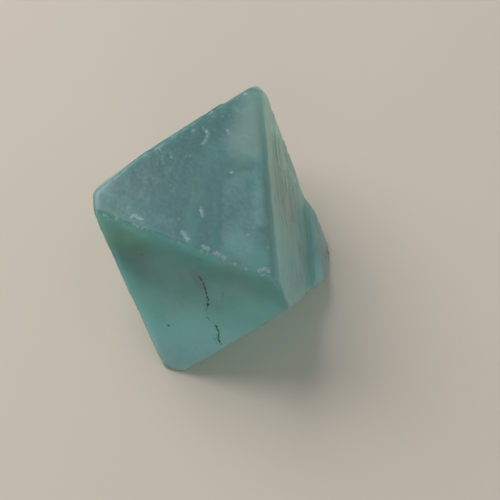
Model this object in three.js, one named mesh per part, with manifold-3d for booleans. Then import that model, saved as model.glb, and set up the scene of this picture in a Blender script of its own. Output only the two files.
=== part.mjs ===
import * as THREE from 'three';
import { mergeVertices } from 'three/addons/utils/BufferGeometryUtils.js';
import Module from 'manifold-3d';

// A cleavage octahedron of blue green fluorite, about 18 mm along an edge, in millimetres with +Z up.
// It lies on one of its eight cleavage faces. The face opposite is its level top, a triangle whose front
// edge runs along X and whose far corner points along +Y.
// Fluorite splits along eight planes whose normals rise 19.5 degrees above or below the horizon, a sixth of
// a turn apart, when one of the planes is level. This piece was split by hand: its faces stray from that by
// a degree or two, and they stand at unequal distances from the middle, which blunts three of its corners.

// Each cleavage face has an outward normal, given as its turn about Z from +X and its rise above the
// horizon, both in degrees, and a distance from the middle of the crystal.
const topFace = { turn: 0, rise: 90, distance: 7.35 };
const baseFace = { turn: 0, rise: -90, distance: 6.4 };
const frontFace = { turn: -87.6, rise: 19.7, distance: 7.35 };
const rightFace = { turn: 28.3, rise: 19.7, distance: 7.35 };
const leftFace = { turn: 151.2, rise: 19.5, distance: 7.33 };
const lowerRightFace = { turn: -29.7, rise: -20.1, distance: 9.03 };
const lowerLeftFace = { turn: -150.3, rise: -18.7, distance: 6.03 };
const lowerBackFace = { turn: 90, rise: -19.6, distance: 8.58 };

// The right face has a cleavage ledge: below this height the crystal stands proud of the rest of the face.
const ledgeHeight = -3.2;
const ledgeDepth = 0.75;
const proudRightFace = { ...rightFace, distance: rightFace.distance + ledgeDepth };

// The proud part doesn't reach the far corner: beyond this plane the right face is back at its own level.
const ledgeEnd = { turn: 62, rise: 22, distance: 9.02 };

// Lower ledges on the faces that the top view doesn't show. Each one sinks a face by a depth, over the part
// of it that lies beyond another cleavage plane.
const hiddenLedges = [
  { face: leftFace, depth: 0.16, beyond: { ...lowerBackFace, distance: 4.6 } },
  { face: leftFace, depth: 0.12, beyond: { ...baseFace, distance: 2.1 } },
  { face: lowerBackFace, depth: 0.34, beyond: { ...leftFace, distance: 2.4 } },
  { face: lowerBackFace, depth: 0.2, beyond: { ...baseFace, distance: 3.4 } },
  { face: lowerLeftFace, depth: 0.22, beyond: { ...baseFace, distance: 1.2 } },
  { face: lowerLeftFace, depth: 0.14, beyond: { ...frontFace, distance: 4.8 } },
  { face: lowerRightFace, depth: 0.12, beyond: { ...baseFace, distance: 4.4 } },
  { face: baseFace, depth: 0.15, beyond: { ...leftFace, distance: 4.7 } },
];

// Fine straight strips run level along the right face, each a little sunk. Heights are in the crystal's own
// frame, and near and far ends are measured along the face from its middle.
const strips = {
  seed: 11,
  count: 15,
  top: 6.9,
  width: [0.15, 0.6],
  gap: [0.1, 0.5],
  depth: [0.02, 0.06],
  nearEnd: [-9, 2],
  farEnd: [3, 12],
};

// A hairline crack wanders down the front face. Its bends are measured along the face from the foot of its
// normal: to the right, then up the slope.
const crack = {
  width: 0.16,
  depth: 0.14,
  bends: [
    [2.4, 2.2],
    [2.9, 1.3],
    [3.3, 0.25],
    [3.2, -0.5],
    [3.4, -1.6],
    [3.9, -1.85],
    [4.55, -2.4],
    [4.7, -3.2],
    [5, -4],
  ],
};

// Depth that wear has taken off each edge, measured square to the edge. A sharp edge, where two faces meet
// at 70 degrees, has lost more than one where they meet at 110 degrees.
const lightWear = 0.07;
const fairWear = 0.12;
const heavyWear = 0.3;
const wornEdges = [
  [topFace, frontFace, fairWear],
  [topFace, rightFace, fairWear],
  [topFace, leftFace, lightWear],
  [topFace, lowerLeftFace, heavyWear],
  [frontFace, rightFace, fairWear],
  [frontFace, lowerLeftFace, lightWear],
  [frontFace, lowerRightFace, lightWear],
  [leftFace, lowerLeftFace, fairWear],
  [leftFace, rightFace, fairWear],
  [leftFace, lowerBackFace, lightWear],
  [rightFace, lowerBackFace, lightWear],
  [proudRightFace, lowerBackFace, lightWear],
  [proudRightFace, lowerRightFace, lightWear],
  [proudRightFace, baseFace, fairWear],
  [lowerRightFace, baseFace, lightWear],
  [lowerLeftFace, baseFace, lightWear],
  [lowerBackFace, baseFace, lightWear],
  [frontFace, baseFace, fairWear],
  [leftFace, baseFace, heavyWear],
];

// Shallow round chips along the worn edges, and one larger nick in the edge between the top and left faces.
const edgeChips = {
  seed: 5,
  perEdge: 4,
  radius: [0.5, 1.9],
  depth: [0.03, 0.15],
};
const edgeNick = { faces: [topFace, leftFace], alongEdge: 0.885, radius: 0.5, depth: 0.2 };

// Facets where a corner has broken or rubbed off, given as faces are.
const cornerFacets = {
  farTip: { turn: 86, rise: 40, distance: 12.19 },
  farTipRight: { turn: 62, rise: 20, distance: 11.1 },
  leftShoulder: { turn: 156.5, rise: 26, distance: 7.98 },
  rightCorner: { turn: 2, rise: -40, distance: 12.05 },
  rightCornerSide: { turn: 3, rise: -8, distance: 10.78 },
  frontTip: { turn: -58, rise: -30, distance: 11.36 },
  frontTipLeft: { turn: -100, rise: -34, distance: 11.72 },
};

const crystalColour = 0x6f9b92;
const crystalRoughness = 0.3;

const wasm = await Module();
wasm.setup();

// The direction of a face's outward normal.
function normalOf(face) {
  const turn = THREE.MathUtils.degToRad(face.turn);
  const rise = THREE.MathUtils.degToRad(face.rise);
  return new THREE.Vector3(
    Math.cos(turn) * Math.cos(rise),
    Math.sin(turn) * Math.cos(rise),
    Math.sin(rise),
  );
}

// A geometry whose triangles share their corners, so that it closes.
function closed(geometry) {
  const bare = geometry.clone();
  bare.deleteAttribute('normal');
  bare.deleteAttribute('uv');
  return mergeVertices(bare);
}

// A closed geometry as a solid that can be cut.
function solidOf(geometry) {
  return new wasm.Manifold(new wasm.Mesh({
    numProp: 3,
    vertProperties: new Float32Array(geometry.attributes.position.array),
    triVerts: new Uint32Array(geometry.index.array),
  }));
}

// A block far larger than the crystal, which fills the space beyond a plane.
const blockSize = 60;
function spaceBeyond(normal, distance) {
  const block = closed(new THREE.BoxGeometry(blockSize, blockSize, blockSize));
  block.translate(0, 0, distance + blockSize / 2);
  const upright = new THREE.Vector3(0, 0, 1);
  block.applyQuaternion(new THREE.Quaternion().setFromUnitVectors(upright, normal));
  return solidOf(block);
}

function beyondFace(face) {
  return spaceBeyond(normalOf(face), face.distance);
}

const cleavageFaces = [
  topFace,
  baseFace,
  frontFace,
  proudRightFace,
  leftFace,
  lowerRightFace,
  lowerLeftFace,
  lowerBackFace,
];

// The bare octahedron, before its ledges and its wear.
function cleavedBlank() {
  let solid = solidOf(closed(new THREE.BoxGeometry(blockSize / 2, blockSize / 2, blockSize / 2)));
  for (const face of cleavageFaces) {
    solid = solid.subtract(beyondFace(face));
  }
  return solid;
}

// What a ledge takes off a face: the skin of a given depth, where it lies beyond another plane.
function ledgeCut(face, depth, beyond) {
  const skin = spaceBeyond(normalOf(face), face.distance - depth);
  return skin.intersect(beyondFace(beyond));
}

function cutLedges(solid) {
  const aboveLedge = { turn: 0, rise: 90, distance: ledgeHeight };
  let cut = solid.subtract(ledgeCut(proudRightFace, ledgeDepth, aboveLedge));
  cut = cut.subtract(ledgeCut(proudRightFace, ledgeDepth, ledgeEnd));
  for (const { face, depth, beyond } of hiddenLedges) {
    cut = cut.subtract(ledgeCut(face, depth, beyond));
  }
  return cut;
}

// The usual constants of a linear congruential generator of 32 bits.
const randomMultiplier = 1664525;
const randomIncrement = 1013904223;
const randomModulus = 2 ** 32;

// Seeded random numbers from 0 to 1, so that the crystal is the same each time.
function randomNumbers(seed) {
  let state = seed;
  return () => {
    state = (state * randomMultiplier + randomIncrement) % randomModulus;
    return state / randomModulus;
  };
}

function between([least, most], share) {
  return least + (most - least) * share;
}

// Each strip is the skin of the right face between two level planes and between its two ends.
function cutStrips(solid) {
  const random = randomNumbers(strips.seed);
  const up = new THREE.Vector3(0, 0, 1);
  const outward = normalOf(rightFace);
  const along = up.clone().cross(outward).normalize();
  let height = strips.top;
  let cut = solid;
  for (let i = 0; i < strips.count; i += 1) {
    const width = between(strips.width, random());
    const depth = between(strips.depth, random());
    const nearEnd = between(strips.nearEnd, random());
    const farEnd = between(strips.farEnd, random());
    if (height - width > ledgeHeight) {
      const strip = spaceBeyond(outward, rightFace.distance - depth)
        .intersect(spaceBeyond(up, height - width))
        .intersect(spaceBeyond(up.clone().negate(), -height))
        .intersect(spaceBeyond(along, nearEnd))
        .intersect(spaceBeyond(along.clone().negate(), -farEnd));
      cut = cut.subtract(strip);
    }
    height -= width + between(strips.gap, random());
  }
  return cut;
}

const barSides = 4;

// One straight stretch of the crack, a four sided bar whose lower half digs into the face.
function crackBar(from, to, outward) {
  const along = to.clone().sub(from);
  const length = along.length() + crack.width;
  const across = along.clone().cross(outward).normalize();
  const bar = closed(new THREE.CylinderGeometry(crack.depth, crack.depth, length, barSides));
  bar.scale(crack.width / (2 * crack.depth), 1, 1);
  bar.applyMatrix4(new THREE.Matrix4().makeBasis(across, along.normalize(), outward));
  const centre = from.clone().lerp(to, 0.5);
  bar.translate(centre.x, centre.y, centre.z);
  return solidOf(bar);
}

function cutCrack(solid) {
  const outward = normalOf(frontFace);
  const right = new THREE.Vector3(0, 0, 1).cross(outward).normalize();
  const upSlope = outward.clone().cross(right);
  const bends = crack.bends.map(([rightward, upward]) => outward
    .clone()
    .multiplyScalar(frontFace.distance)
    .addScaledVector(right, rightward)
    .addScaledVector(upSlope, upward));
  let cut = solid;
  for (let i = 1; i < bends.length; i += 1) {
    cut = cut.subtract(crackBar(bends[i - 1], bends[i], outward));
  }
  return cut;
}

// A narrow flat along the edge where two faces meet, at equal angles to both.
function edgeFlat(faceA, faceB, depth) {
  const sum = normalOf(faceA).add(normalOf(faceB));
  const edgeDistance = (faceA.distance + faceB.distance) / sum.length();
  return spaceBeyond(sum.normalize(), edgeDistance - depth);
}

function wearEdges(solid) {
  let worn = solid;
  for (const [faceA, faceB, depth] of wornEdges) {
    worn = worn.subtract(edgeFlat(faceA, faceB, depth));
  }
  return worn;
}

// A face whose slope along an edge is less than this runs beside the edge and doesn't end it.
const levelSlope = 0.01;

// The two ends of the edge where two faces meet, as far as the other faces let it run.
function edgeEnds(faceA, faceB) {
  const along = normalOf(faceA).cross(normalOf(faceB)).normalize();
  const basis = new THREE.Matrix3().set(
    ...normalOf(faceA).toArray(),
    ...normalOf(faceB).toArray(),
    ...along.toArray(),
  );
  const foot = new THREE.Vector3(faceA.distance, faceB.distance, 0).applyMatrix3(basis.invert());
  let start = -blockSize;
  let end = blockSize;
  for (const face of cleavageFaces) {
    const normal = normalOf(face);
    const slope = normal.dot(along);
    const reach = (face.distance - normal.dot(foot)) / slope;
    if (slope > levelSlope) {
      end = Math.min(end, reach);
    } else if (slope < -levelSlope) {
      start = Math.max(start, reach);
    }
  }
  return [
    foot.clone().addScaledVector(along, start),
    foot.clone().addScaledVector(along, end),
  ];
}

const ballSegments = 28;

// A ball that dips to a given depth into the edge between two faces, at a share of the way along it.
function chipBall({ faces, alongEdge, radius, depth }) {
  const [start, end] = edgeEnds(...faces);
  const outward = normalOf(faces[0]).add(normalOf(faces[1])).normalize();
  const centre = start.lerp(end, alongEdge).addScaledVector(outward, radius - depth);
  const ball = closed(new THREE.SphereGeometry(radius, ballSegments, ballSegments / 2));
  ball.translate(centre.x, centre.y, centre.z);
  return solidOf(ball);
}

function chipEdges(solid) {
  const random = randomNumbers(edgeChips.seed);
  let chipped = solid.subtract(chipBall(edgeNick));
  for (const [faceA, faceB, wear] of wornEdges) {
    for (let i = 0; i < edgeChips.perEdge; i += 1) {
      const chip = {
        faces: [faceA, faceB],
        alongEdge: (i + random()) / edgeChips.perEdge,
        radius: between(edgeChips.radius, random()),
        depth: wear + between(edgeChips.depth, random()),
      };
      chipped = chipped.subtract(chipBall(chip));
    }
  }
  return chipped;
}

function breakCorners(solid) {
  let broken = solid;
  for (const facet of Object.values(cornerFacets)) {
    broken = broken.subtract(beyondFace(facet));
  }
  return broken;
}

function crystalSolid() {
  const split = cutLedges(cleavedBlank());
  const marked = cutCrack(cutStrips(split));
  return chipEdges(breakCorners(wearEdges(marked)));
}

function meshOf(solid, name, material) {
  const { vertProperties, triVerts } = solid.getMesh();
  const geometry = new THREE.BufferGeometry();
  geometry.setAttribute('position', new THREE.BufferAttribute(vertProperties, 3));
  geometry.setIndex(new THREE.BufferAttribute(triVerts, 1));
  geometry.computeVertexNormals();
  const mesh = new THREE.Mesh(geometry, material);
  mesh.name = name;
  return mesh;
}

// The origin is the middle of the crystal's box at the height of the base.
function standOnOrigin(mesh) {
  mesh.geometry.computeBoundingBox();
  const box = mesh.geometry.boundingBox;
  const middle = box.getCenter(new THREE.Vector3());
  mesh.position.set(-middle.x, -middle.y, -box.min.z);
}

const fluorite = new THREE.MeshStandardMaterial({
  color: crystalColour,
  roughness: crystalRoughness,
  metalness: 0,
});
const crystal = meshOf(crystalSolid(), 'fluorite_octahedron', fluorite);
standOnOrigin(crystal);

const part = new THREE.Group();
part.add(crystal);

export default part;
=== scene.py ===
import math

import bpy
import numpy as np
from mathutils import Matrix, Quaternion, Vector, noise


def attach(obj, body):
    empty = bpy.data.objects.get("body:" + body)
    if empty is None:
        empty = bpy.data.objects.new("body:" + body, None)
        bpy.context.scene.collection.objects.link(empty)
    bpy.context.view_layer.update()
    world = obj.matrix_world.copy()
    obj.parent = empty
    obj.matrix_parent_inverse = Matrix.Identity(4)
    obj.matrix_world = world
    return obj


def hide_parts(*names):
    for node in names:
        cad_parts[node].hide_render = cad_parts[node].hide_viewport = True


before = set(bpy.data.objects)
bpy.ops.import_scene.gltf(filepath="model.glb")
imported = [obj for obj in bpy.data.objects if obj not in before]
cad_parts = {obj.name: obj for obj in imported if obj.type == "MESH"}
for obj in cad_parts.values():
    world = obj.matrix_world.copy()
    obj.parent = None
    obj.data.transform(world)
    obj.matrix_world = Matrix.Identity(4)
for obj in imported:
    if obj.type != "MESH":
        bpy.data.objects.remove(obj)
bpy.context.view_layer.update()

# A blue green fluorite octahedron on a plain pale floor. Blender's lengths are in metres. The crystal's own
# sizes are in millimetres until they are multiplied by MM.
MM = 0.001
NODE = "fluorite_octahedron"

# The camera stands where the photograph was taken from: 141 mm off, looking down at 64 degrees.
CAMERA_PLACE = Vector((23.7, -57.373, 132.656)) * MM
CAMERA_AIM = Vector((3.007, -0.286, 5.79)) * MM
CAMERA_ROLL = math.radians(4.4)
SENSOR_WIDTH = 36.0
FOCAL_LENGTH = 125.06
NEAREST_SEEN = 1 * MM
FARTHEST_SEEN = 10.0

# The crystal's cleavage faces: turn about Z and rise above the horizon in degrees, then the distance in
# millimetres from the crystal's middle. The right face stands proud below its ledge.
MIDDLE = np.array((-1.167, -0.448, 6.4))
FACES = {
    "top": (0, 90, 7.35),
    "base": (0, -90, 6.4),
    "front": (-87.6, 19.7, 7.35),
    "right": (28.3, 19.7, 7.35),
    "left": (151.2, 19.5, 7.33),
    "lower right": (-29.7, -20.1, 9.03),
    "lower left": (-150.3, -18.7, 6.03),
    "lower back": (90, -19.6, 8.58),
}
LEDGE_HEIGHT = -3.2
LEDGE_DEPTH = 0.75

# How fine the crystal's mesh is.
VOXEL = 0.128

# How far the wear reaches, in millimetres: full up to the first distance and gone at the second. The edge
# between the top and the right face is blunter than the others. The ledge blends in over one reach up and
# down, and over another off the right face.
EDGE_REACH = (0, 0.7)
CORNER_REACH = (0.4, 1.6)
BLUNT_REACH = (0.2, 1.1)
LEDGE_REACH = (0.9, 1.9)
LEDGE_FACE_REACH = (0.9, 1.6)

# How strong the wear is away from the edges, and at the ledge's near end, where 1 is full.
OPEN_WEAR = 0.25
NEAR_WEAR = 0.35

# The relief that is pressed into the surface: how large its lumps are, and how deep they go.
CHIP_SIZE = 1.3
CHIP_DEPTH = 0.06
FRAY_SIZE = 0.45
FRAY_DEPTH = 0.05
WAVE_SIZE = 4.5
WAVE_DEPTH = 0.04
GRAIN_SIZE = 0.5
GRAIN_DEPTH = 0.012
PIT_DEPTH = 0.12
BRUISE_AND_GLINT_DEPTH = 0.02

# The ribs lie on the right face. They are drawn out along it, where a step counts for only this share.
RIB_SIZE = 0.45
RIB_DEPTH = 0.05
RIB_REACH = (0.15, 0.4)
RIB_SHARE = 0.06

# How far the colours of two faces run into each other, and the part of a stroke's radius that is solid.
FACE_BLEND = 0.3
STROKE_CORE = 0.2

# The widths of the tinted rims on the right face's edges, and of the ridge on the front edge, pale with
# wear and a painted highlight.
TOP_RIM = 0.9
FRONT_RIM = 0.8
RIDGE = 0.6

# The small marks, picked in the photograph. Each is a soft stroke with a radius in millimetres, an
# amount, and the places that it runs through. A place is a pixel of the photograph, across and down from
# its top left corner, laid on the face that shows it. The ledge is the proud part of the right face.
PHOTO_SIZE = 500
BRUISES_AND_GLINTS = {
    "top": [
        # The far corner, and the flecks below it.
        (0.28, 0.85, [(245, 94)]),
        (0.2, 0.68, [(213, 116)]),
        (0.2, 0.59, [(222, 116)]),
        (0.2, 0.38, [(238, 112), (234, 108)]),
        (0.2, 0.38, [(244, 110), (241, 114.5)]),
        # The pale hook, with two short strokes to its left.
        (0.24, 0.51, [(193.5, 130), (192.5, 132.5)]),
        (0.2, 0.42, [(202, 127), (206, 131)]),
        (0.2, 0.64, [(206, 131), (207, 136), (204, 142), (201, 144)]),
        # Single flecks over the face.
        (0.2, 0.59, [(227, 130), (228, 134)]),
        (0.2, 0.42, [(246, 137)]),
        (0.29, 0.42, [(256, 148)]),
        (0.24, 0.85, [(231, 172)]),
        (0.24, 0.42, [(190, 200)]),
        (0.37, 0.3, [(165, 173), (168, 170)]),
        (0.21, 0.42, [(153, 178)]),
        (0.24, 0.26, [(175, 172)]),
        (0.21, 0.77, [(248, 234)]),
        (0.2, 0.51, [(253, 228)]),
        (0.21, 0.47, [(178, 219)]),
        # Faint flecks and scratches on the left part.
        (0.24, 0.34, [(103, 185)]),
        (0.21, 0.3, [(113, 179)]),
        (0.2, 0.42, [(160, 149), (163, 153.5)]),
        (0.2, 0.47, [(170, 153), (171.5, 157.5)]),
        (0.2, 0.38, [(185, 157), (191, 155.5)]),
        (0.2, 0.34, [(161, 157), (163.5, 164.5)]),
        # The short dash in the middle, and a fleck by the right edge.
        (0.2, 0.77, [(200, 208), (201, 212), (202, 216)]),
        (0.28, 0.51, [(268, 248)]),
        # The chalky row along the front edge, from left to right.
        (0.22, 0.74, [(131, 217), (134, 214), (137, 218), (141.5, 219)]),
        (0.2, 0.85, [(133, 224)]),
        (0.21, 0.85, [(137, 226)]),
        (0.2, 0.85, [(142, 228)]),
        (0.2, 0.74, [(147, 230)]),
        (0.2, 0.64, [(152, 232)]),
        (0.32, 0.69, [(182, 232), (185, 236), (187, 239)]),
        (0.28, 0.69, [(203, 246), (208, 249)]),
        (0.37, 0.64, [(215, 253), (225, 258)]),
        (0.28, 0.69, [(228.5, 264), (235, 264)]),
        (0.28, 0.69, [(258.5, 271), (265, 268), (269, 271)]),
    ],
    "front": [
        (0.24, 0.26, [(147, 313), (153, 315), (158, 319)]),
    ],
    # Painted glints: spots of highlight on the ledge.
    "ledge": [
        (0.21, 0.77, [(313, 258)]),
        (0.2, 0.59, [(308, 275)]),
        (0.2, 0.68, [(311, 277), (312, 278)]),
        (0.2, 0.51, [(315, 280)]),
    ],
}

# Dark grains, and the dirty crack that runs down the front.
DIRT = {
    "front": [
        (0.15, 1.0, [(168, 326)]),
        (0.13, 0.7, [(142, 255)]),
        (0.12, 0.7, [(199, 277), (203, 283), (206, 292), (208, 300), (208, 305)]),
        (0.11, 0.6, [(208, 305), (206, 309), (207, 318)]),
        (0.1, 0.4, [(207, 318), (211, 322), (216, 327)]),
        (0.12, 0.75, [(216, 327), (219, 334), (218, 340), (221, 345)]),
        (0.1, 0.45, [(214, 339), (217, 345)]),
        (0.16, 0.3, [(222, 285), (223, 297), (222, 303)]),
        (0.2, 0.25, [(200, 258), (202, 270)]),
    ],
    "right": [
        (0.13, 0.8, [(309, 221)]),
        (0.12, 0.3, [(300, 216), (301, 230)]),
    ],
}

# The broad, soft tints below are strokes too, but their places are in millimetres along the face from the
# foot of its normal: to the right, then up. On the top face that is along X, then along Y.

# Lighter and darker clouds inside the crystal, seen through the faces, and painted shade along the ledge's
# step. A minus amount is darker.
CLOUDS = {
    "top": [
        (1.3, 0.5, [(1.7, 1.6), (2.2, -0.2), (3.5, -3.4)]),
        (1.5, 0.6, [(3.0, 2.2), (3.8, 0.5), (5.0, -3.2)]),
        (0.8, 0.7, [(3.9, 1.9), (4.4, 0.6), (5.2, -0.8)]),
        (0.9, 0.35, [(-4.0, -4.4), (-3.0, -4.2), (-1.0, -3.9)]),
        (2.6, -0.5, [(-9.0, -4.0), (-6.6, -4.6)]),
        (0.9, -0.7, [(0.0, -1.0), (0.2, -2.6), (0.9, -4.3)]),
        (0.6, -0.7, [(1.0, 0.3), (1.9, -1.8), (3.0, -4.1)]),
        (0.5, -0.7, [(2.5, 4.9), (2.0, 3.7), (1.6, 2.7), (1.0, 1.3)]),
        (1.2, -0.45, [(-0.5, 3.3), (-0.5, 1.4), (-0.6, -0.1)]),
    ],
    "front": [
        (3.0, -0.6, [(-1.2, 2.2), (1.0, 0.9)]),
        (1.6, -0.45, [(4.7, 3.9), (7.1, 4.0)]),
    ],
    "ledge": [
        # Painted shade along the ledge's step.
        (0.75, -1.0, [(-1.3, -3.0), (-2.2, -3.3), (-3.2, -3.5), (-4.0, -3.5)]),
    ],
}

# Warmer, olive places, and a dark green painted shade along the ledge's step.
WARMTH = {
    "front": [
        (0.7, 0.8, [(1.8, 2.6), (2.4, 1.6)]),
        (2.6, 0.9, [(-5.6, 3.8), (-3.3, 3.3)]),
        (2.2, 0.55, [(4.7, 3.9), (7.1, 4.0)]),
    ],
    "top": [
        (0.8, 0.5, [(2.5, 4.9), (1.6, 2.7), (1.0, 1.3)]),
    ],
    "ledge": [
        # Painted shade: a dark green strip along the ledge's step.
        (0.7, 1.4, [(-1.3, -3.1), (-3.9, -3.5)]),
    ],
}

# Painted shade: darker places on the top and the front.
SHADES = {
    "top": [
        (1.5, 1.1, [(-9.6, -3.0), (-9.3, -4.4)]),
        (0.5, 0.8, [(-8.6, -2.0), (-6.6, 0.8), (-4.6, 3.4), (-2.0, 7.2)]),
        (1.4, 0.8, [(-0.4, 9.9), (0.2, 9.4)]),
    ],
    "front": [
        (1.6, 0.3, [(-4.6, 2.6), (-1.6, 0.4)]),
    ],
}

# Painted light: places that glow.
GLOWS = {
    "front": [
        (3.2, 0.25, [(3.0, -3.5), (6.2, -1.5), (8.2, 0.0)]),
        (2.6, 0.25, [(4.6, 1.6), (7.2, 2.0)]),
    ],
    "top": [
        (1.6, 0.25, [(4.5, -3.6), (6.4, -3.8)]),
    ],
    "right": [
        (2.4, 0.4, [(2.0, -3.0), (-2.0, -2.5), (-5.0, -1.5)]),
    ],
    "ledge": [
        (2.4, 0.8, [(4.0, -3.6), (-3.0, -5.0), (-0.7, -6.0), (2.5, -8.5)]),
    ],
}

# Grey, milky places.
VEILS = {
    "top": [
        (2.6, 0.8, [(1.2, 8.6), (1.5, 5.2)]),
        (2.4, 0.4, [(-9.0, -3.2), (-7.5, -2.8)]),
    ],
    "right": [
        (2.5, 0.25, [(8.0, 3.5), (3.0, 3.0)]),
    ],
    "ledge": [
        (1.4, 0.8, [(6.5, -2.8), (-4.0, -3.2)]),
        (2.2, 0.6, [(-3.0, -5.0), (-0.7, -6.0), (2.5, -8.5)]),
    ],
}

# Colours of the crystal and of what is on it.
DEEP = (0.19, 0.52, 0.46, 1)
CLEAR = (0.3, 0.6, 0.54, 1)
# Painted sky reflection and painted shade on the top.
SKY_REFLECTION = (0.17, 0.345, 0.365, 1)
# Painted reflection of the pale floor on the right face.
FLOOR_REFLECTION = (0.56, 0.86, 0.73, 1)
# Painted shade.
PAINTED_SHADE = (0.09, 0.16, 0.16, 1)
# Painted glow, where light comes through.
GLOWING = (0.42, 1.0, 0.91, 1)
HAZE = (0.42, 0.74, 0.71, 1)
OLIVE = (0.23, 0.42, 0.31, 1)
MILK = (0.52, 0.66, 0.6, 1)
MOSS = (0.26, 0.43, 0.36, 1)
PALE = (0.8, 0.95, 0.95, 1)
SOOT = (0.03, 0.06, 0.05, 1)

# The painted layers that tint the crystal: how strongly, and towards which colour. The first list is
# painted
# light: a painted sky reflection and painted shade on the top, a painted floor reflection on the right
# face, painted shade and painted glow. The clouds are laid over the first list and under the second, then
# come the streaks, the rims, and the bruising with its painted glints.
FACE_TINTS = [
    ("on_top", 0.8, SKY_REFLECTION),
    ("on_right", 0.8, FLOOR_REFLECTION),
    ("shade", 0.55, PAINTED_SHADE),
    ("glow", 1.0, GLOWING),
]
OUTER_TINTS = [
    ("warmth", 0.6, OLIVE),
    ("veil", 0.75, MILK),
]
LIGHT_CLOUD = 0.45
DARK_CLOUD = -0.6
STREAK_TINT = 0.5
RIM_TINT = 0.75
BRUISE_AND_GLINT_TINT = 0.56

# How strong the fine mottle is on the sides, where it is 1 on the top.
SIDE_MOTTLE = 0.35

# The crystal's clear body: fluorite's refraction, how see-through and how milky it is, and what it absorbs.
REFRACTION = 1.434
SEE_THROUGH = 0.6
MILKINESS = 1.0
MILK_REACH = (0.5, 1.0, 0.95)
MILK_DEPTH = 6 * MM
ABSORBED_COLOUR = (0.35, 0.7, 0.66, 1)
ABSORPTION = 20

# Its frosted skin: the roughness, what the bruising and its painted glints add to it, and the strength and
# height of the fine bumps.
FROST = (0.2, 0.26)
BRUISE_AND_GLINT_FROST = 0.02
BUMP_STRENGTH = 0.35
BUMP_HEIGHT = 0.03 * MM

# The floor, in metres, and the light on it.
FLOOR_HALF = 1.0
FLOOR_COLOUR = (0.54, 0.47, 0.39, 1)
FLOOR_ROUGHNESS = 0.9
SKY_COLOUR = (0.86, 0.93, 1.0, 1)
SKY_STRENGTH = 0.43


def link(name, data):
    """Puts a new object into the scene."""
    thing = bpy.data.objects.new(name, data)
    bpy.context.scene.collection.objects.link(thing)
    return thing


def camera_turn():
    """The camera's turn: towards its aim, then rolled."""
    forward = CAMERA_AIM - CAMERA_PLACE
    return forward.to_track_quat("-Z", "Y") @ Quaternion((0, 0, 1), CAMERA_ROLL)


def add_camera():
    data = bpy.data.cameras.new("camera")
    data.sensor_width = SENSOR_WIDTH
    data.lens = FOCAL_LENGTH
    data.clip_start = NEAREST_SEEN
    data.clip_end = FARTHEST_SEEN
    camera = link("camera", data)
    camera.matrix_world = Matrix.Translation(CAMERA_PLACE) @ camera_turn().to_matrix().to_4x4()
    bpy.context.scene.camera = camera


def smoothstep(low, high, value):
    """0 below the low value, 1 above the high one, and a smooth climb between them."""
    share = np.clip((value - low) / (high - low), 0, 1)
    return share * share * (3 - 2 * share)


def closeness(distance, reach):
    """1 up to the reach's first distance, falling to 0 at its second."""
    near, far = reach
    return 1 - smoothstep(near, far, distance)


def face_axes(name):
    """A face's outward normal, and the directions to the right and up along it."""
    turn, rise = (math.radians(angle) for angle in FACES[name][:2])
    normal = np.array((math.cos(turn) * math.cos(rise), math.sin(turn) * math.cos(rise), math.sin(rise)))
    if name in ("top", "base"):
        right = np.array((1.0, 0.0, 0.0))
    else:
        right = np.array((-math.sin(turn), math.cos(turn), 0.0))
    return normal, right, np.cross(normal, right)


def face_plane(face):
    """The axes of a face or of the ledge, and its distance from the crystal's middle."""
    if face == "ledge":
        return *face_axes("right"), FACES["right"][2] + LEDGE_DEPTH
    return *face_axes(face), FACES[face][2]


def measured_on(face, across, up):
    """The place on a face that is so far along it, in millimetres from the crystal's middle."""
    normal, right, upward, distance = face_plane(face)
    return normal * distance + right * across + upward * up


def seen_on(face, across, down):
    """The place on a face that the camera sees at a pixel, in millimetres from the crystal's middle."""
    normal, _, _, distance = face_plane(face)
    half = PHOTO_SIZE / 2
    pixel = SENSOR_WIDTH / PHOTO_SIZE
    sight = camera_turn() @ Vector(((across - half) * pixel, (half - down) * pixel, -FOCAL_LENGTH))
    sight = np.array(sight)
    start = np.array(CAMERA_PLACE) / MM - MIDDLE
    return start + sight * (distance - normal @ start) / (normal @ sight)


def distance_to_line(points, line):
    """How far each point is from a line of straight stretches, or from its one place."""
    best = np.full(len(points), np.inf)
    ends = line[1:] if len(line) > 1 else line
    for start, end in zip(line, ends):
        along = end - start
        share = np.clip((points - start) @ along / max(along @ along, 1e-9), 0, 1)
        best = np.minimum(best, np.linalg.norm(points - start - share[:, None] * along, axis=1))
    return best


def painted(points, marks, place_on):
    """The sum of a table's soft strokes at each point. place_on finds a stroke's place on its face."""
    total = np.zeros(len(points))
    for face, strokes in marks.items():
        for radius, amount, places in strokes:
            line = [place_on(face, *place) for place in places]
            total += amount * closeness(distance_to_line(points, line) / radius, (STROKE_CORE, 1.0))
    return total


def crystal_mesh():
    """A fine mesh of the crystal, drawn back onto the solid's own faces."""
    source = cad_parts[NODE]
    work = link("work", source.data.copy())
    remesh = work.modifiers.new("remesh", "REMESH")
    remesh.mode = "VOXEL"
    remesh.voxel_size = VOXEL * MM
    snap = work.modifiers.new("snap", "SHRINKWRAP")
    snap.wrap_method = "NEAREST_SURFACEPOINT"
    snap.target = source
    bpy.context.view_layer.update()
    graph = bpy.context.evaluated_depsgraph_get()
    mesh = bpy.data.meshes.new_from_object(work.evaluated_get(graph))
    bpy.data.objects.remove(work)
    return mesh


def points_of(mesh):
    """The mesh's points, in millimetres from the crystal's middle."""
    flat = np.empty(len(mesh.vertices) * 3)
    mesh.vertices.foreach_get("co", flat)
    return flat.reshape(-1, 3) / MM - MIDDLE


def normals_of(mesh):
    flat = np.empty(len(mesh.vertices) * 3)
    mesh.vertices.foreach_get("normal", flat)
    return flat.reshape(-1, 3)


def move_points(mesh, points):
    mesh.vertices.foreach_set("co", ((points + MIDDLE) * MM).ravel())
    mesh.update()


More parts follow.
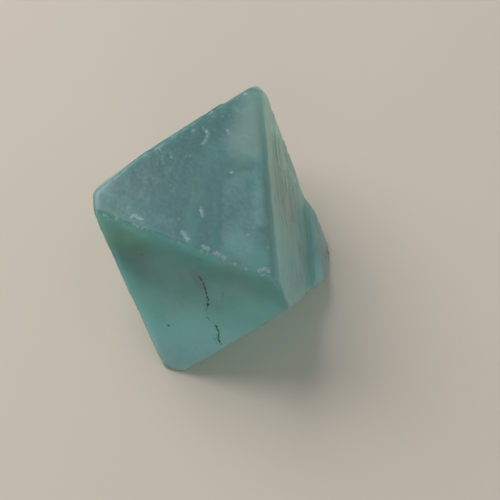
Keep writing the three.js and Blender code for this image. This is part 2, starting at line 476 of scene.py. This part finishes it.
def face_depths(points):
    """How far each point lies under each face's plane."""
    depths = {}
    for name, (_, _, distance) in FACES.items():
        depths[name] = distance - points @ face_axes(name)[0]
    below = points[:, 2] < LEDGE_HEIGHT
    depths["right"] = np.where(below, depths["right"] + LEDGE_DEPTH, np.abs(depths["right"]))
    return depths


def ranked_depths(points):
    """Each point's depths, from its nearest face to its farthest."""
    return np.sort(np.stack(list(face_depths(points).values())), axis=0)


def edge_distance(depths, first, second):
    """How far each point is from the edge between two faces."""
    return np.maximum(np.abs(depths[first]), np.abs(depths[second]))


def soften(mesh, points, weight, rounds):
    """Draws each point towards the mean of its neighbours, by its weight."""
    ends = np.empty(len(mesh.edges) * 2, dtype=np.int64)
    mesh.edges.foreach_get("vertices", ends)
    first, second = ends.reshape(-1, 2).T
    count = np.bincount(ends, minlength=len(points))[:, None]
    for _ in range(rounds):
        total = np.zeros_like(points)
        for axis in range(3):
            total[:, axis] += np.bincount(first, points[second, axis], len(points))
            total[:, axis] += np.bincount(second, points[first, axis], len(points))
        points = points + 0.5 * weight[:, None] * (total / count - points)
    return points


def noise_at(points, size, shift=0.0):
    """Smooth noise from minus 1 to 1 whose lumps are about the given size in millimetres."""
    return np.array([noise.noise(Vector(place)) for place in points / size + shift])


def waves_at(points, size, shift=0.0):
    """The same noise, from 0 to 1."""
    return noise_at(points, size, shift) * 0.5 + 0.5


def rub_down(mesh, points, edge, depths):
    """Rounds the edges and corners, and blends the ledge into the right face towards the far corner."""
    points = soften(mesh, points, OPEN_WEAR + (1 - OPEN_WEAR) * edge, rounds=2)
    points = soften(mesh, points, closeness(ranked_depths(points)[2], CORNER_REACH), rounds=14)
    blunt = closeness(edge_distance(depths, "top", "right"), BLUNT_REACH)
    points = soften(mesh, points, blunt, rounds=20)
    on_right = closeness(np.abs(depths["right"]), LEDGE_FACE_REACH)
    near_ledge = closeness(np.abs(points[:, 2] - LEDGE_HEIGHT), LEDGE_REACH) * on_right
    far_part = smoothstep(-1.0, 2.0, points @ face_axes("right")[1])
    return soften(mesh, points, near_ledge * (NEAR_WEAR + (1 - NEAR_WEAR) * far_part), rounds=20)


def relief_at(points, edge, depths):
    """How deep the chips, waves, grain, marks and ribs go at each point. The base has none."""
    chips = smoothstep(0.1, 0.7, noise_at(points, CHIP_SIZE, shift=3.7)) * edge ** 2 * CHIP_DEPTH
    frays = smoothstep(0.0, 0.8, noise_at(points, FRAY_SIZE, shift=9.1)) * edge ** 3 * FRAY_DEPTH
    waves = waves_at(points, WAVE_SIZE) * WAVE_DEPTH
    grain = waves_at(points, GRAIN_SIZE, shift=5.2) * GRAIN_DEPTH
    pits = painted(points, DIRT, seen_on) * PIT_DEPTH
    bruises_and_glints = painted(points, BRUISES_AND_GLINTS, seen_on) * BRUISE_AND_GLINT_DEPTH
    along = points @ face_axes("right")[1]
    drawn_out = np.stack([along * RIB_SHARE, points[:, 2], np.zeros(len(points))], axis=1)
    on_right = closeness(np.abs(depths["right"]), RIB_REACH)
    ribs = waves_at(drawn_out, RIB_SIZE, shift=1.3) * RIB_DEPTH * on_right
    relief = chips + frays + waves + grain + pits + bruises_and_glints + ribs
    return relief * smoothstep(0.0, 0.6, depths["base"])


def shape_crystal(mesh):
    """Wears the crystal down and presses the relief in. Gives the points and normals before the relief."""
    points = points_of(mesh)
    edge = closeness(ranked_depths(points)[1], EDGE_REACH)
    depths = face_depths(points)
    points = rub_down(mesh, points, edge, depths)
    move_points(mesh, points)
    normals = normals_of(mesh)
    press = relief_at(points, edge, depths)
    move_points(mesh, points - normals * press[:, None])
    return points, normals


def paint_crystal(mesh, points, normals):
    """Keeps what the material reads, one number for each point."""
    depths = face_depths(points)

    def nearest_but(name):
        return np.min([depth for other, depth in depths.items() if other != name], axis=0)

    def on_face(name):
        return smoothstep(-FACE_BLEND, FACE_BLEND, nearest_but(name) - depths[name])

    def along_edge(first, second, width):
        return closeness(edge_distance(depths, first, second), (0.0, width))

    # The slope of the ledge counts as a part of the right face.
    on_right = np.maximum(on_face("right"), smoothstep(0.0, 0.6, nearest_but("right")))

    # Painted light: the lower front, the near end of the right face and the underside glow, as if lit by
    # light that comes through.
    front_glow = np.clip((1.5 - points @ face_axes("front")[2]) / 7.5, 0, 1)
    right_glow = 0.9 * smoothstep(-2.0, 5.0, -points @ face_axes("right")[1])
    under_glow = 0.35 * smoothstep(0.05, 0.3, -normals[:, 2])
    glow = np.maximum(on_face("front") * front_glow + on_right * right_glow, under_glow)

    # Painted shade: the top and the front darken towards the left side.
    left_side = closeness(np.minimum(depths["left"], depths["lower left"]), (0.0, 4.0))
    shade = (on_face("top") * 1.2 + on_face("front") * 0.85) * left_side

    top_rim = along_edge("top", "right", TOP_RIM) * 0.8
    front_rim = along_edge("front", "right", FRONT_RIM) * 0.35
    layers = {
        "on_top": on_face("top"),
        "on_right": on_right,
        "shade": shade + painted(points, SHADES, measured_on),
        "glow": glow + painted(points, GLOWS, measured_on),
        "cloud": painted(points, CLOUDS, measured_on),
        "mottled": SIDE_MOTTLE + (1 - SIDE_MOTTLE) * on_face("top"),
        "warmth": painted(points, WARMTH, measured_on),
        "veil": painted(points, VEILS, measured_on),
        "rim": np.maximum(top_rim, front_rim),
        "ridge": along_edge("top", "front", RIDGE),
        "bruise_and_glint": painted(points, BRUISES_AND_GLINTS, seen_on),
        "dirt": painted(points, DIRT, seen_on),
    }
    for name, amounts in layers.items():
        layer = mesh.attributes.new(name, "FLOAT", "POINT")
        layer.data.foreach_set("value", amounts.astype(np.float32))


class Graph:
    """Short ways to add nodes to a material."""

    def __init__(self, material):
        material.use_nodes = True
        self.nodes = material.node_tree.nodes
        self.links = material.node_tree.links
        self.shader = self.nodes["Principled BSDF"]
        self.place = self.nodes.new("ShaderNodeTexCoord").outputs["Object"]

    def feed(self, socket, value):
        """Links another socket to this one, or sets it to a plain value."""
        if isinstance(value, bpy.types.NodeSocket):
            self.links.new(value, socket)
        else:
            socket.default_value = value

    def layer(self, name):
        """One of the numbers that paint_crystal keeps."""
        node = self.nodes.new("ShaderNodeAttribute")
        node.attribute_name = name
        return node.outputs["Fac"]

    def math(self, operation, first, second):
        node = self.nodes.new("ShaderNodeMath")
        node.operation = operation
        self.feed(node.inputs[0], first)
        self.feed(node.inputs[1], second)
        return node.outputs[0]

    def plus(self, first, second):
        return self.math("ADD", first, second)

    def times(self, first, second):
        return self.math("MULTIPLY", first, second)

    def greater(self, first, second):
        return self.math("MAXIMUM", first, second)

    def noise(self, size, detail, turn=(0, 0, 0), stretch=(1, 1, 1), shift=(0, 0, 0)):
        """Noise from 0 to 1 with lumps of about the given size in millimetres."""
        spread = self.nodes.new("ShaderNodeMapping")
        spread.vector_type = "TEXTURE"
        self.feed(spread.inputs["Vector"], self.place)
        spread.inputs["Rotation"].default_value = turn
        spread.inputs["Scale"].default_value = [s * size * MM for s in stretch]
        spread.inputs["Location"].default_value = [s * MM for s in shift]
        node = self.nodes.new("ShaderNodeTexNoise")
        self.feed(node.inputs["Vector"], spread.outputs[0])
        node.inputs["Scale"].default_value = 1.0
        node.inputs["Detail"].default_value = detail
        return node.outputs["Fac"]

    def specks(self, spacing, size):
        """1 in small round spots, a spacing apart on average, both in millimetres."""
        spread = self.nodes.new("ShaderNodeVectorMath")
        spread.operation = "SCALE"
        self.feed(spread.inputs[0], self.place)
        spread.inputs["Scale"].default_value = 1 / (spacing * MM)
        cells = self.nodes.new("ShaderNodeTexVoronoi")
        self.feed(cells.inputs["Vector"], spread.outputs[0])
        cells.inputs["Scale"].default_value = 1.0
        spot = size / spacing
        return self.span(cells.outputs["Distance"], 0.3 * spot, spot, to=(1.0, 0.0))

    def span(self, value, low, high, to=(0.0, 1.0)):
        """A smooth climb over the values from low to high."""
        node = self.nodes.new("ShaderNodeMapRange")
        node.interpolation_type = "SMOOTHSTEP"
        for socket, amount in zip(node.inputs, (value, low, high, *to)):
            self.feed(socket, amount)
        return node.outputs[0]

    def mix(self, share, first, second):
        """The first colour, and the second where the share is 1. The node keeps the share from 0 to 1."""
        node = self.nodes.new("ShaderNodeMix")
        node.data_type = "RGBA"
        self.feed(node.inputs[0], share)
        self.feed(node.inputs[6], first)
        self.feed(node.inputs[7], second)
        return node.outputs[2]

    def tint(self, base, amount, strength, colour):
        """Draws the base towards a colour, by an amount and a strength."""
        return self.mix(self.times(amount, strength), base, colour)


def right_streaks(graph):
    """Fine streaks along the right face, in patches."""
    along = (0, 0, math.radians(FACES["right"][0]))
    wide = graph.noise(0.55, detail=4.0, turn=along, stretch=(1, 7, 1))
    fine = graph.noise(0.16, detail=3.0, turn=along, stretch=(1, 12, 1), shift=(2, 2, 2))
    wide = graph.times(graph.span(wide, 0.4, 0.7), 0.6)
    fine = graph.times(graph.span(fine, 0.45, 0.7), 0.6)
    patches = graph.span(graph.noise(1.5, detail=2.0, shift=(8, 8, 1)), 0.4, 0.65, to=(0.25, 1.0))
    return graph.times(graph.layer("on_right"), graph.times(graph.plus(wide, fine), patches))


def cloudiness(graph, lumps):
    """The painted clouds with lumps of their own, and a fine mottle that is strongest on the top."""
    mottle = graph.span(graph.noise(0.32, detail=5.0, shift=(6, 3, 3)), 0.3, 0.7, to=(-0.24, 0.24))
    cloud = graph.plus(graph.layer("cloud"), graph.span(lumps, 0.3, 0.7, to=(-0.22, 0.22)))
    return graph.plus(cloud, graph.times(mottle, graph.layer("mottled")))


def body_colour(graph, lumps, streaks):
    """The colour of the crystal without its marks, with its painted reflections, shade and glow."""
    body = graph.mix(graph.span(graph.noise(5.0, detail=2.0), 0.35, 0.65), DEEP, CLEAR)
    for layer, strength, colour in FACE_TINTS:
        body = graph.tint(body, graph.layer(layer), strength, colour)
    cloud = cloudiness(graph, lumps)
    body = graph.tint(body, cloud, LIGHT_CLOUD, HAZE)
    body = graph.tint(body, cloud, DARK_CLOUD, DEEP)
    for layer, strength, colour in OUTER_TINTS:
        body = graph.tint(body, graph.layer(layer), strength, colour)
    body = graph.tint(body, streaks, STREAK_TINT, OLIVE)
    return graph.tint(body, graph.layer("rim"), RIM_TINT, MOSS)


def white_marks(graph, ragged):
    """1 on the pale marks: the bruised spots, painted glints on the ledge, the front edge's pale wear and
    painted highlight, and small specks.
    """
    ridge_wear_and_sheen = graph.span(graph.noise(0.4, detail=4.0, shift=(5, 5, 1)), 0.46, 0.7)
    ridge_wear_and_sheen = graph.times(ridge_wear_and_sheen, graph.layer("ridge"))
    white = graph.greater(graph.layer("bruise_and_glint"), graph.times(ridge_wear_and_sheen, 0.75))
    white = graph.span(graph.plus(white, ragged), 0.15, 0.95)
    patches = graph.span(graph.noise(2.2, detail=3.0, shift=(9, 4, 2)), 0.48, 0.72, to=(0.0, 0.7))
    return graph.greater(white, graph.times(graph.specks(spacing=0.7, size=0.09), patches))


def crystal_material():
    material = bpy.data.materials.new("fluorite")
    graph = Graph(material)
    lumps = graph.noise(1.6, detail=4.0, shift=(3, 1, 7))
    grain = graph.noise(0.3, detail=3.0, shift=(1, 8, 2))
    ragged = graph.span(graph.noise(0.18, detail=3.0, shift=(4, 2, 9)), 0.25, 0.75, to=(-0.25, 0.25))
    streaks = right_streaks(graph)
    white = white_marks(graph, ragged)
    soot = graph.span(graph.plus(graph.layer("dirt"), graph.times(ragged, 0.5)), 0.15, 0.7)

    colour = graph.tint(body_colour(graph, lumps, streaks), white, BRUISE_AND_GLINT_TINT, PALE)
    shader = graph.shader
    graph.feed(shader.inputs["Base Color"], graph.mix(soot, colour, SOOT))
    frost = graph.span(lumps, 0.2, 0.8, to=FROST)
    graph.feed(shader.inputs["Roughness"], graph.plus(frost, graph.times(white, BRUISE_AND_GLINT_FROST)))
    bump = graph.nodes.new("ShaderNodeBump")
    bump.inputs["Strength"].default_value = BUMP_STRENGTH
    bump.inputs["Distance"].default_value = BUMP_HEIGHT
    graph.feed(bump.inputs["Height"], graph.plus(grain, graph.times(streaks, 0.6)))
    graph.feed(shader.inputs["Normal"], bump.outputs["Normal"])

    shader.inputs["IOR"].default_value = REFRACTION
    shader.inputs["Transmission Weight"].default_value = SEE_THROUGH
    shader.inputs["Subsurface Weight"].default_value = MILKINESS
    shader.inputs["Subsurface Radius"].default_value = MILK_REACH
    shader.inputs["Subsurface Scale"].default_value = MILK_DEPTH
    absorb = graph.nodes.new("ShaderNodeVolumeAbsorption")
    absorb.inputs["Color"].default_value = ABSORBED_COLOUR
    absorb.inputs["Density"].default_value = ABSORPTION
    graph.links.new(absorb.outputs["Volume"], graph.nodes["Material Output"].inputs["Volume"])
    return material


def add_crystal():
    mesh = crystal_mesh()
    points, normals = shape_crystal(mesh)
    paint_crystal(mesh, points, normals)
    mesh.materials.clear()
    mesh.materials.append(crystal_material())
    mesh.polygons.foreach_set("use_smooth", [True] * len(mesh.polygons))
    crystal = link("crystal", mesh)
    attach(crystal, "root")
    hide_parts(NODE)


def add_floor():
    half = FLOOR_HALF
    corners = [(-half, -half, 0), (half, -half, 0), (half, half, 0), (-half, half, 0)]
    mesh = bpy.data.meshes.new("floor")
    mesh.from_pydata(corners, [], [(0, 1, 2, 3)])
    material = bpy.data.materials.new("floor")
    material.use_nodes = True
    shader = material.node_tree.nodes["Principled BSDF"]
    shader.inputs["Base Color"].default_value = FLOOR_COLOUR
    shader.inputs["Roughness"].default_value = FLOOR_ROUGHNESS
    mesh.materials.append(material)
    floor = link("floor", mesh)


def add_softbox(name, place, size, energy):
    """A round lamp that shines at the crystal. Its place and size are in metres, its energy in watts."""
    data = bpy.data.lights.new(name, "AREA")
    data.shape = "DISK"
    data.size = size
    data.energy = energy
    lamp = link(name, data)
    turn = (-place).to_track_quat("-Z", "Y").to_matrix().to_4x4()
    lamp.matrix_world = Matrix.Translation(place) @ turn


def add_light():
    world = bpy.data.worlds.new("world")
    bpy.context.scene.world = world
    world.use_nodes = True
    sky = world.node_tree.nodes["Background"]
    sky.inputs["Color"].default_value = SKY_COLOUR
    sky.inputs["Strength"].default_value = SKY_STRENGTH
    add_softbox("main softbox", place=Vector((-0.2, 0.06, 0.25)), size=0.3, energy=0.98)
    add_softbox("low fill", place=Vector((0.1, -0.28, 0.08)), size=0.15, energy=0.12)
    bpy.context.scene.view_settings.view_transform = "Standard"


add_camera()
add_crystal()
add_floor()
add_light()
